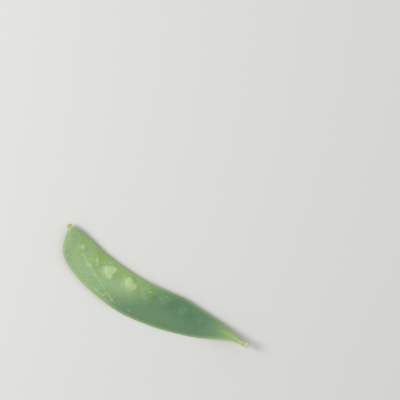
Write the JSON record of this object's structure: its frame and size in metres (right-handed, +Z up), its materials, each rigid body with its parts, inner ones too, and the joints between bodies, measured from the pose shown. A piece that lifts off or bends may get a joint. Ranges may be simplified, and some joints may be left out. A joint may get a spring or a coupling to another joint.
{
  "type": "snow pea pod",
  "caption": "Flat, gently curved snow pea pod with raised seams along both edges, low pea swellings, a narrow torn stalk end and a short dried style tip, lying on its side.",
  "frame": {"origin": "middle of the pod's footprint, on the surface that it lies on", "axes": "+X from the blossom end to the stalk end, +Y to the ventral seam that the peas hang from, +Z up out of the upper valve"},
  "size_m": [0.1099, 0.024, 0.0085],
  "materials": {
    "pod_skin": "satin waxy green plant skin",
    "stalk_flesh": "matt pale fibrous plant flesh",
    "dried_style": "matt dried plant tissue"
  },
  "bodies": {
    "root": {"pod": "pod_skin", "stalk_stub": "stalk_flesh", "style_tip": "dried_style"}
  },
  "joints": []
}
